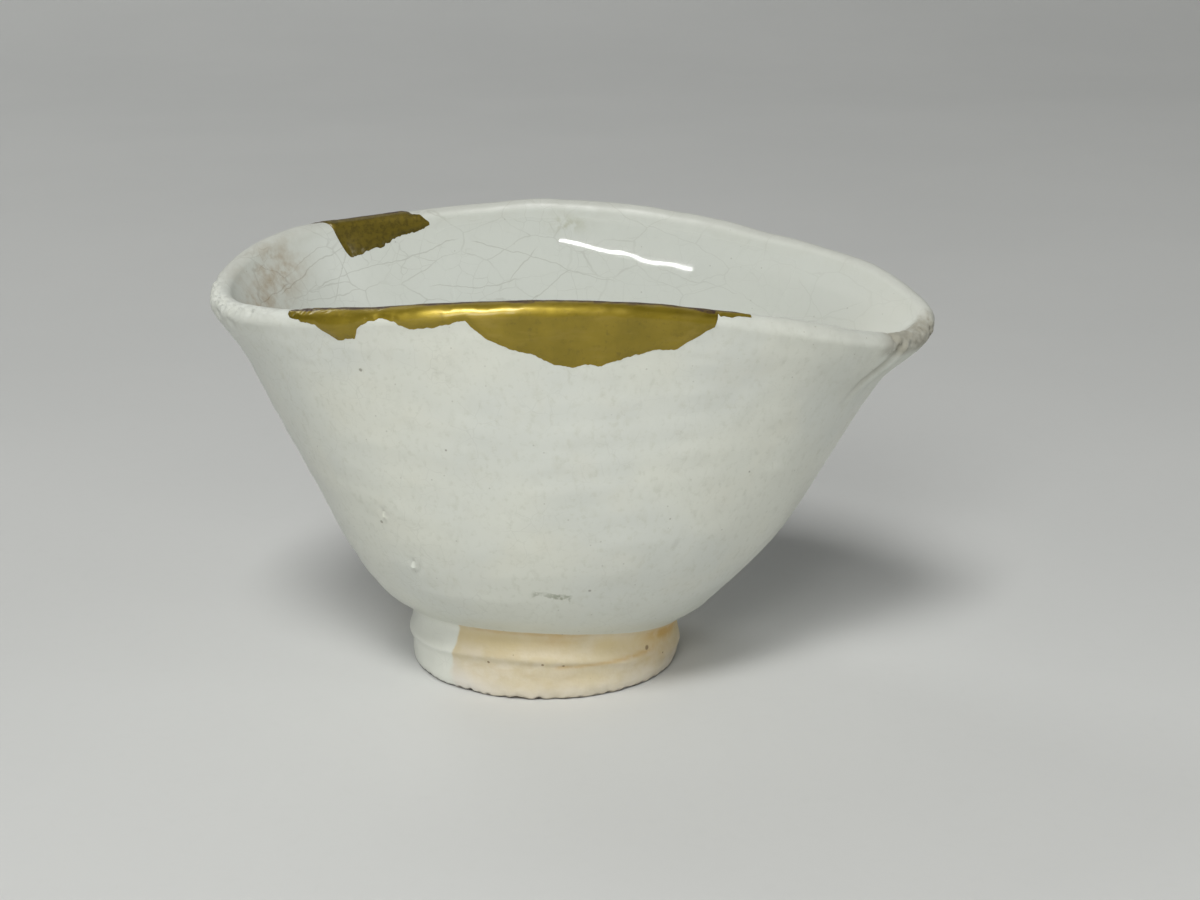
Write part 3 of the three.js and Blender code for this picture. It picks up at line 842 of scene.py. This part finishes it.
def porcelain_material():
    m = Nodes("crackled_porcelain")
    mm = m.mm
    inside, bare_in = m.attr("inside"), m.attr("bare")
    flush, grime, worn = m.attr("flush"), m.attr("grime"), m.attr("worn")
    stain, olive, rust, fold = m.attr("stain"), m.attr("olive"), m.attr("rust"), m.attr("fold")
    pale, shade, corner, cream = m.attr("pale"), m.attr("shade"), m.attr("corner"), m.attr("cream")
    deep, low, underside, lip_at = m.attr("deep"), m.attr("low"), m.attr("underside"), m.attr("lip")
    wet, crazed, ring = m.attr("wet"), m.attr("crazed"), m.attr("ring")

    big = m.noise(16, 2, 0.5).outputs[0]
    n5 = m.noise(5.2, 3, 0.55)
    mid = n5.outputs[0]
    split = m.node("ShaderNodeSeparateColor")
    m.put(split.inputs[0], n5.outputs[1])
    mid_g, mid_b = split.outputs[1], split.outputs[2]
    n1 = m.noise(1.25, 3, 0.6)
    fine = n1.outputs[0]
    clay_noise = m.noise(2.4, 4, 0.65).outputs[0]

    # body colour: greyish white and cloudy, creamier in patches, a little green where the glaze lies thick
    glaze = m.mix(m.ramp(big, 0.38, 0.62), srgb(213, 215, 204), srgb(208, 211, 203))
    glaze = m.mix(m.math("MULTIPLY", m.ramp(mid, 0.46, 0.74), 0.22), glaze, srgb(213, 211, 195))
    glaze = m.mix(m.math("MULTIPLY", m.ramp(fine, 0.50, 0.74), 0.36), glaze, srgb(198, 200, 188))
    crumb = m.noise(0.62, 2, 0.6).outputs[0]
    glaze = m.mix(m.math("MULTIPLY", m.ramp(crumb, 0.52, 0.74), 0.30), glaze, srgb(186, 188, 172))
    # painted shade: the outer bowl darker towards its bottom
    glaze = m.mix(m.math("MULTIPLY", low, 0.5), glaze, srgb(204, 207, 195))
    glaze = m.mix(m.math("MULTIPLY", inside, 0.78), glaze, srgb(206, 210, 204))
    glaze = m.mix(m.math("MULTIPLY", m.ramp(deep, 0.1, 0.8), 0.5), glaze, srgb(199, 204, 197))
    # painted shade: darker inside the drawn corner
    glaze = m.mix(corner, glaze, srgb(190, 191, 181))

    # painted light: the glaze on the foot ring is lighter
    glaze = m.mix(m.math("MULTIPLY", ring, 0.8), glaze, srgb(226, 228, 218))
    glaze = m.mix(m.math("MULTIPLY", lip_at, m.ramp(clay_noise, 0.3, 0.65, 0.10, 0.45)), glaze, srgb(196, 198, 188))
    # painted shade: a darker band along the lip's crest, strongest on the back half
    glaze = m.mix(m.math("MULTIPLY", shade, m.ramp(clay_noise, 0.3, 0.65, 0.75, 1.0)), glaze, srgb(186, 188, 180))

    # crackle: wandering nets of two sizes and a few long single cracks
    half = (0.5, 0.5, 0.5)
    bent = m.vec("ADD", mm, m.vec("SCALE", m.vec("SUBTRACT", n5.outputs[1], half), scale=2.2))
    bent = m.vec("ADD", bent, m.vec("SCALE", m.vec("SUBTRACT", n1.outputs[1], half), scale=0.30))
    wide = m.cracks(m.stretch((0.6, 0.6, 1.1), bent, (0.25, -0.3, 0.2)), 4.6, 0.075)
    net = m.cracks(bent, 1.9, 0.05)
    wide = m.math("MULTIPLY", wide, m.math("MULTIPLY", m.ramp(mid_g, 0.38, 0.60, 0.30, 1.0), inside))
    net = m.math("MULTIPLY", net, m.ramp(mid_b, 0.42, 0.62, 0.05, 0.70))
    lines = m.math("MULTIPLY", m.math("MAXIMUM", wide, net), m.ramp(inside, 0.3, 0.8, 0.50, 0.85))
    for (a0, u0), (a1, u1) in LONG_CRACKS:
        th = np.radians(np.array([a0, a1, (a0 + a1) / 2]))
        uu = np.array([u0, u1, (u0 + u1) / 2])
        _, out = wall_frame(uu, th)
        P = outer(uu, th) - out * through(WALL_LEVEL, WALL_T, uu)[:, None]
        P[:, 0] += FOOT_X
        along = P[1] - P[0]
        reach = float(np.linalg.norm(along))
        along = along / reach
        across = np.cross(along, out[2])
        across /= np.linalg.norm(across)
        rel = m.vec("SUBTRACT", bent, tuple(P[0]))
        off = m.node("ShaderNodeVectorMath", operation="DOT_PRODUCT")
        m.put(off.inputs[0], rel)
        off.inputs[1].default_value = tuple(across)
        run = m.node("ShaderNodeVectorMath", operation="DOT_PRODUCT")
        m.put(run.inputs[0], rel)
        run.inputs[1].default_value = tuple(along)
        up = m.node("ShaderNodeVectorMath", operation="DOT_PRODUCT")
        m.put(up.inputs[0], rel)
        up.inputs[1].default_value = tuple(out[2])
        line = m.ramp(m.math("ABSOLUTE", off.outputs["Value"]), 0.02, 0.085, 1.0, 0.0)
        span = m.ramp(m.math("ABSOLUTE", m.math("SUBTRACT", run.outputs["Value"], reach / 2)), reach / 2 - 0.8, reach / 2 + 0.4, 1.0, 0.0)
        close = m.math("LESS_THAN", m.math("ABSOLUTE", up.outputs["Value"]), 6.0)
        line = m.math("MULTIPLY", m.math("MULTIPLY", line, span), m.math("MULTIPLY", close, inside))
        lines = m.math("MAXIMUM", lines, line)
    glazed = m.math("SUBTRACT", 1.0, bare_in, clamp=True)
    lines = m.math("MULTIPLY", m.math("MULTIPLY", lines, crazed), glazed)
    colour = m.mix(m.math("MULTIPLY", lines, 0.28), glaze, srgb(126, 124, 108))

    # tea stain inside the round end, denser along the cracks
    cloud = m.math("MULTIPLY", m.ramp(clay_noise, 0.36, 0.62), m.ramp(fine, 0.30, 0.60, 0.5, 1.0))
    st = m.math("MULTIPLY", stain, m.ramp(cloud, 0, 1, 0.22, 1.0, False), clamp=True)
    colour = m.mix(m.math("MULTIPLY", st, 0.74), colour, srgb(160, 142, 114))
    colour = m.mix(m.math("MULTIPLY", m.math("MULTIPLY", st, lines), 0.45), colour, srgb(128, 98, 72))
    colour = m.mix(m.math("MULTIPLY", m.math("MULTIPLY", olive, m.ramp(fine, 0.4, 0.62)), 0.45), colour, srgb(150, 150, 112))

    # iron specks in and under the glaze, and the larger ones one by one
    dots = m.math("MAXIMUM", m.specks(mm, 3.4, 0.13, 0.12), m.math("MULTIPLY", m.specks(mm, 1.1, 0.12, 0.22, 5.0), 0.44))
    for (a0, u0), r in GLAZE_SPOTS:
        P = outer(np.array([u0]), np.radians([a0]))[0] + np.array([FOOT_X, 0, 0])
        dots = m.math("MAXIMUM", dots, m.spot(P, r))
    colour = m.mix(m.math("MULTIPLY", dots, 0.6), colour, srgb(106, 100, 82))

    # bare clay on the foot
    streaks = m.noise(3.2, 3, 0.6, vector=m.stretch((1, 1, 2.6))).outputs[0]
    clay = m.mix(m.ramp(clay_noise, 0.35, 0.65), srgb(213, 203, 180), srgb(207, 195, 163))
    clay = m.mix(m.math("MULTIPLY", m.ramp(streaks, 0.50, 0.68), 0.30), clay, srgb(197, 178, 136))
    clay = m.mix(m.math("MULTIPLY", m.ramp(fine, 0.56, 0.74), 0.25), clay, srgb(218, 211, 194))
    clay = m.mix(m.math("MULTIPLY", cream, 0.40), clay, srgb(192, 175, 132))
    clay = m.mix(m.math("MULTIPLY", pale, 0.60), clay, srgb(222, 217, 206))
    clay = m.mix(m.math("MULTIPLY", underside, 0.25), clay, srgb(190, 178, 150))
    fl = m.math("MULTIPLY", flush, m.ramp(mid, 0.30, 0.60, 0.65, 1.0), clamp=True)
    clay = m.mix(m.math("MULTIPLY", fl, 0.80), clay, srgb(208, 190, 143))
    ru = m.math("MULTIPLY", rust, m.ramp(fine, 0.30, 0.60, 0.6, 1.1), clamp=True)
    clay = m.mix(m.math("MULTIPLY", ru, 0.80), clay, srgb(192, 150, 66))
    iron = m.math("ADD", m.math("MULTIPLY", m.specks(mm, 1.7, 0.12, 0.12, 3.0), 0.8), m.ramp(fine, 0.72, 0.78, 0.0, 0.5), clamp=True)
    for (a0, z0), r in CLAY_SPOTS:
        a0 = math.radians(a0)
        iron = m.math("MAXIMUM", iron, m.spot((14.42 * math.cos(a0) + FOOT_X, 14.42 * math.sin(a0), z0), r))
    clay = m.mix(m.math("MULTIPLY", iron, 0.75), clay, srgb(112, 84, 50))
    # glaze and clay meet in a soft wandering edge
    edge_noise = m.math("MULTIPLY", m.math("SUBTRACT", fine, 0.5), 0.7)
    bare = m.ramp(m.math("ADD", bare_in, edge_noise), 0.12, 0.88)
    colour = m.mix(bare, colour, clay)

    # worn corner, painted shade in its fold, grime
    w = m.math("MULTIPLY", worn, m.ramp(clay_noise, 0.30, 0.55, 0.45, 1.0), clamp=True)
    colour = m.mix(m.math("MULTIPLY", w, 0.85), colour, srgb(150, 146, 131))
    wd = m.math("MULTIPLY", worn, m.ramp(fine, 0.57, 0.67), clamp=True)
    colour = m.mix(m.math("MULTIPLY", wd, 0.55), colour, srgb(112, 106, 90))
    colour = m.mix(m.math("MULTIPLY", fold, 0.36), colour, srgb(140, 137, 120))
    # a broken greenish scrape low on the front
    up, out = wall_frame(np.array([0.150]), np.radians([271.9]))
    side = np.cross(up[0], out[0])
    if side[0] < 0:
        side = -side
    rel = m.vec("SUBTRACT", mm, tuple(outer(np.array([0.150]), np.radians([271.9]))[0] + np.array([FOOT_X, 0, 0])))
    x, y = m.dot(rel, side), m.dot(rel, up[0])
    line = m.ramp(m.math("ABSOLUTE", m.math("ADD", y, m.math("MULTIPLY", m.math("SUBTRACT", crumb, 0.5), 1.1))), 0.13, 0.36, 1.0, 0.0)
    line = m.math("MULTIPLY", line, m.ramp(m.math("ABSOLUTE", x), 1.75, 2.2, 1.0, 0.0))
    line = m.math("MULTIPLY", line, m.math("MULTIPLY", m.ramp(x, -0.6, 0.4, 0.6, 1.0), m.ramp(crumb, 0.36, 0.50, 0.35, 1.0)))
    line = m.math("MULTIPLY", line, m.math("SUBTRACT", 1.0, inside, clamp=True))
    line = m.math("MULTIPLY", line, m.math("LESS_THAN", m.math("ABSOLUTE", m.dot(rel, out[0])), 4.0))
    colour = m.mix(m.math("MULTIPLY", line, 0.62), colour, srgb(116, 121, 94))
    gr = m.math("MULTIPLY", grime, m.ramp(fine, 0.26, 0.50, 0.35, 1.2), clamp=True)
    colour = m.mix(m.math("MULTIPLY", gr, 0.88), colour, srgb(78, 68, 56))
    m.put(m.bsdf.inputs["Base Color"], colour)

    # gloss: wet inside, softer outside, dull where the clay is bare or worn
    smear = m.ramp(big, 0.35, 0.65, -0.01, 0.05)
    gloss = m.math("MAXIMUM", m.math("ADD", m.math("SUBTRACT", m.ramp(inside, 0.3, 0.9, 0.305, 0.32), m.math("MULTIPLY", wet, 0.285)), m.math("MULTIPLY", smear, m.math("SUBTRACT", 1.0, wet, clamp=True))), 0.03)
    dull = m.math("MAXIMUM", m.math("MAXIMUM", bare, m.math("MULTIPLY", w, 0.85)), gr)
    dull = m.math("MAXIMUM", dull, m.math("MULTIPLY", lip_at, m.ramp(clay_noise, 0.3, 0.7, 0.62, 0.85)))
    rough = m.math("ADD", m.math("MULTIPLY", gloss, m.math("SUBTRACT", 1.0, dull, clamp=True)), m.math("MULTIPLY", dull, 0.6))
    rough = m.math("ADD", rough, m.math("MULTIPLY", st, 0.12), clamp=True)
    m.put(m.bsdf.inputs["Roughness"], rough)
    m.bsdf.inputs["IOR"].default_value = 1.5

    # surface: soft waves in the outer glaze, next to none inside, grit on bare clay
    peel = m.noise(1.9, 3, 0.55).outputs[0]
    amount = m.math("ADD", m.ramp(inside, 0.1, 0.7, 0.22, 0.012), m.math("MULTIPLY", m.math("ADD", bare_in, worn, clamp=True), 1.1))
    m.put(m.bsdf.inputs["Normal"], m.bump(m.math("MULTIPLY", peel, amount), 0.10, 0.8))
    return m.mat


def gold_material():
    m = Nodes("gold_lacquer")
    mm = m.mm
    rubbed, old, gloss = m.attr("rubbed"), m.attr("old"), m.attr("crest_gloss")
    cloud = m.noise(3.6, 4, 0.6).outputs[0]
    fine = m.noise(0.6, 4, 0.65).outputs[0]
    brushed = m.noise(1.5, 3, 0.6, vector=m.stretch((0.35, 0.35, 1.6))).outputs[0]
    c = m.mix(m.ramp(cloud, 0.35, 0.65), srgb(152, 132, 36), srgb(139, 121, 30))
    c = m.mix(m.math("MULTIPLY", m.ramp(brushed, 0.5, 0.72), 0.45), c, srgb(164, 143, 62))
    c = m.mix(m.math("MULTIPLY", m.ramp(fine, 0.54, 0.74), 0.40), c, srgb(112, 95, 34))
    # the back fill is darker and mottled brown
    worn = m.math("MULTIPLY", old, m.ramp(fine, 0.40, 0.62, 0.72, 1.0))
    c = m.mix(m.math("MULTIPLY", worn, 0.80), c, srgb(78, 67, 20))
    spots = m.specks(mm, 1.3, 0.12, 0.22, 2.0)
    c = m.mix(m.math("MULTIPLY", spots, m.ramp(old, 0, 1, 0.45, 0.8, False)), c, srgb(70, 48, 26))
    bare = m.math("MULTIPLY", rubbed, m.ramp(fine, 0.30, 0.55, 0.45, 1.0), clamp=True)
    c = m.mix(bare, c, srgb(62, 43, 33))
    m.put(m.bsdf.inputs["Base Color"], c)
    m.put(m.bsdf.inputs["Metallic"], m.math("SUBTRACT", 0.66, m.math("MULTIPLY", bare, 0.7), clamp=True))
    m.put(m.bsdf.inputs["Coat Weight"], m.math("SUBTRACT", 0.45, m.math("MULTIPLY", bare, 0.40), clamp=True))
    m.bsdf.inputs["Coat Roughness"].default_value = 0.17
    rough = m.math("ADD", m.ramp(brushed, 0.3, 0.7, 0.46, 0.56), m.math("MULTIPLY", m.math("ADD", worn, m.ramp(fine, 0.4, 0.7, 0.0, 0.4)), 0.12))
    # gloss only: the light along the crest comes from the lights
    rough = m.math("SUBTRACT", rough, m.math("MULTIPLY", gloss, 0.16))
    m.put(m.bsdf.inputs["Roughness"], rough)
    n = m.math("ADD", m.math("MULTIPLY", brushed, 0.35), m.math("MULTIPLY", fine, m.ramp(old, 0, 1, 0.2, 0.7, False)))
    m.put(m.bsdf.inputs["Normal"], m.bump(n, 0.05, 0.8))
    return m.mat


porcelain = porcelain_material()
gold = gold_material()
cup.data.materials.clear()
cup.data.materials.append(porcelain)
for ob in (front_gold, back_gold):
    ob.data.materials.append(gold)

for ob, node, slot in ((cup, "porcelain_cup", "porcelain_glaze"),
                       (front_gold, "gold_lacquer_fill_front_rim", "gold_lacquer"),
                       (back_gold, "gold_lacquer_fill_back_rim", "gold_lacquer")):
    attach(ob, "root")
    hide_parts(node)

# ------------------------------------------------------ floor, lights, camera


def floor_material():
    m = Nodes("pale_paper")
    a = m.noise(90, 4, 0.55).outputs[0]
    b = m.noise(1.6, 4, 0.6).outputs[0]
    c = m.mix(m.ramp(a, 0.3, 0.7), (0.572, 0.579, 0.566, 1), (0.592, 0.598, 0.584, 1))
    c = m.mix(m.math("MULTIPLY", m.ramp(b, 0.5, 0.75), 0.10), c, (0.51, 0.515, 0.49, 1))
    place = m.node("ShaderNodeSeparateXYZ")
    m.put(place.inputs[0], m.mm)
    # painted light: the floor lighter towards the front
    c = m.mix(m.ramp(place.outputs[1], -160, 60, 0.30, 0.0), c, (0.78, 0.785, 0.765, 1))
    # painted shade: a darker band on the floor behind the cup
    painted_shade_far = m.math("MULTIPLY", m.ramp(place.outputs[1], -10, 120, 0.0, 0.07), m.ramp(place.outputs[1], 220, 420, 1.0, 0.0))
    c = m.mix(painted_shade_far, c, (0.35, 0.355, 0.34, 1))
    m.put(m.bsdf.inputs["Base Color"], c)
    m.bsdf.inputs["Roughness"].default_value = 0.75
    return m.mat


# a sheet that runs back and curves up behind
prof = [(-1.2, 0.0)] + [(y, 0.0) for y in np.linspace(-0.6, 0.45, 8)]
for k in range(1, 15):
    t = k / 14 * math.pi / 2
    prof.append((0.45 + 0.55 * math.sin(t), 0.55 * (1 - math.cos(t))))
prof.append((1.0, 1.6))
fv, ff = [], []
for y, z in prof:
    fv += [(-2.2, y, z), (2.2, y, z)]
for i in range(len(prof) - 1):
    ff.append((2 * i, 2 * i + 1, 2 * i + 3, 2 * i + 2))
fm = bpy.data.meshes.new("paper_sweep")
fm.from_pydata(fv, [], ff)
fm.polygons.foreach_set("use_smooth", [True] * len(ff))
floor = bpy.data.objects.new("paper_sweep", fm)
scene.collection.objects.link(floor)
fm.materials.append(floor_material())


def area_light(name, place, aim, size, power, colour=(1, 1, 1), size_y=None, up=None):
    ld = bpy.data.lights.new(name, "AREA")
    ld.energy = power
    ld.color = colour
    ld.shape = "RECTANGLE" if size_y else "SQUARE"
    ld.size = size
    if size_y:
        ld.size_y = size_y
    lo = bpy.data.objects.new(name, ld)
    place, aim = Vector(place), Vector(aim)
    z = (place - aim).normalized()
    x = Vector(up).normalized() if up else Vector((0, 0, 1)).cross(z).normalized()
    x = (x - z * x.dot(z)).normalized()
    y = z.cross(x)
    m = Matrix((x, y, z)).transposed().to_4x4()
    m.translation = place
    lo.matrix_world = m
    lo.visible_camera = False
    scene.collection.objects.link(lo)
    return lo


def from_bearing(az, el, distance):
    """A point at so many degrees left of the camera's side and above the floor."""
    a, e = math.radians(az), math.radians(el)
    return Vector((-math.sin(a) * math.cos(e), -math.cos(a) * math.cos(e), math.sin(e))) * distance


area_light("key_high", from_bearing(16, 58, 1.0), (0, 0, 0.02), 0.30, 6.4, (1.0, 0.998, 0.985))
area_light("key_low", from_bearing(12, 32, 1.0), (0, 0, 0.02), 0.30, 2.95, (1.0, 0.998, 0.985))
area_light("side_right", from_bearing(-75, 12, 0.75), (0, 0, 0.02), 0.22, 0.8, (0.99, 1.0, 1.0))
area_light("backdrop", (0.05, 0.95, 0.9), (0.05, 0.85, 0), 0.9, 1.55)
area_light("back_left", (-0.5, 0.6, 0.6), (0, 0, 0), 0.30, 1.1, (0.98, 1.0, 1.0))
# a long thin tube to the front left, seen as the streak on the inner back wall
p0, p1 = Vector((-0.157, -0.775, 0.110)), Vector((-0.51, -0.60, 0.178))
for k, (wide, power) in enumerate(((0.0085, 0.105), (0.0065, 0.080), (0.0045, 0.055), (0.003, 0.036))):
    area_light("tube_%d" % k, p0.lerp(p1, k / 4 + 0.125), (0, 0, 0.03), (p1 - p0).length / 4, power, (1, 1, 1), size_y=wide, up=(p1 - p0))

world = bpy.data.worlds.new("studio")
world.use_nodes = True
world.node_tree.nodes["Background"].inputs[0].default_value = (0.92, 0.95, 0.93, 1)
world.node_tree.nodes["Background"].inputs[1].default_value = 0.018
scene.world = world
scene.view_settings.view_transform = "Standard"
scene.view_settings.look = "None"
scene.view_settings.exposure = 0.0
scene.view_settings.gamma = 1.0

# camera: fitted to the foot ring's ellipse, 16.7 degrees above the horizon
elev, dist_mm = math.radians(16.657), 244.68
target = Vector((5.892 + FOOT_X, 0, 22.793)) / 1000
eye = target + Vector((0, -math.cos(elev), math.sin(elev))) * dist_mm / 1000
cam = bpy.data.cameras.new("camera")
cam.sensor_width = 36
cam.lens = 69.0
cam.clip_start = 0.01
cam_ob = bpy.data.objects.new("camera", cam)
scene.collection.objects.link(cam_ob)
fwd = (target - eye).normalized()
right = Vector((1, 0, 0))
up = right.cross(fwd)
mat = Matrix((right, up, -fwd)).transposed().to_4x4()
mat.translation = eye
cam_ob.matrix_world = mat
scene.camera = cam_ob
